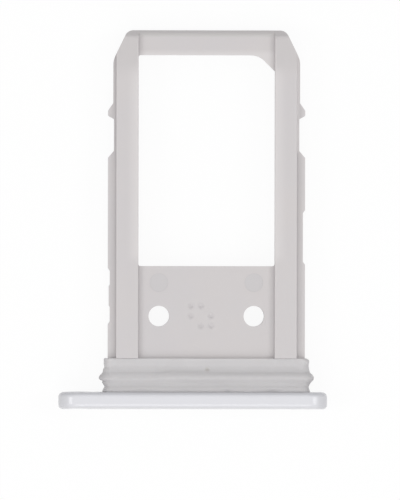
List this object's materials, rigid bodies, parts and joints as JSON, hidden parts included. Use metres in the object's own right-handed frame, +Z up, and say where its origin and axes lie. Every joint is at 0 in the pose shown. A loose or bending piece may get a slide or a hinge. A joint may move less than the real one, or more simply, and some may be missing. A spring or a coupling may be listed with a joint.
{
  "type": "sim card tray",
  "caption": "Flat phone SIM card tray: moulded frame with a keyed card window, raised rails and side detents, a lipped silicone seal and a slim rounded face cap with an eject hole.",
  "frame": {"origin": "middle of the footprint, on the surface that the cap's lower edge lies on", "axes": "+Y the way the tray is pushed in, tip first; +X along the cap, away from the eject hole; +Z up, out of the contact side"},
  "size_m": [0.0152, 0.0214, 0.0022],
  "materials": {
    "frame_plastic": "moulded light grey engineering plastic, fine matt",
    "seal_silicone": "moulded grey silicone, satin",
    "cap_finish": "pearl white paint, satin gloss"
  },
  "bodies": {
    "root": {"tray_frame": "frame_plastic", "seal_ring": "seal_silicone", "face_cap": "cap_finish"}
  },
  "joints": []
}
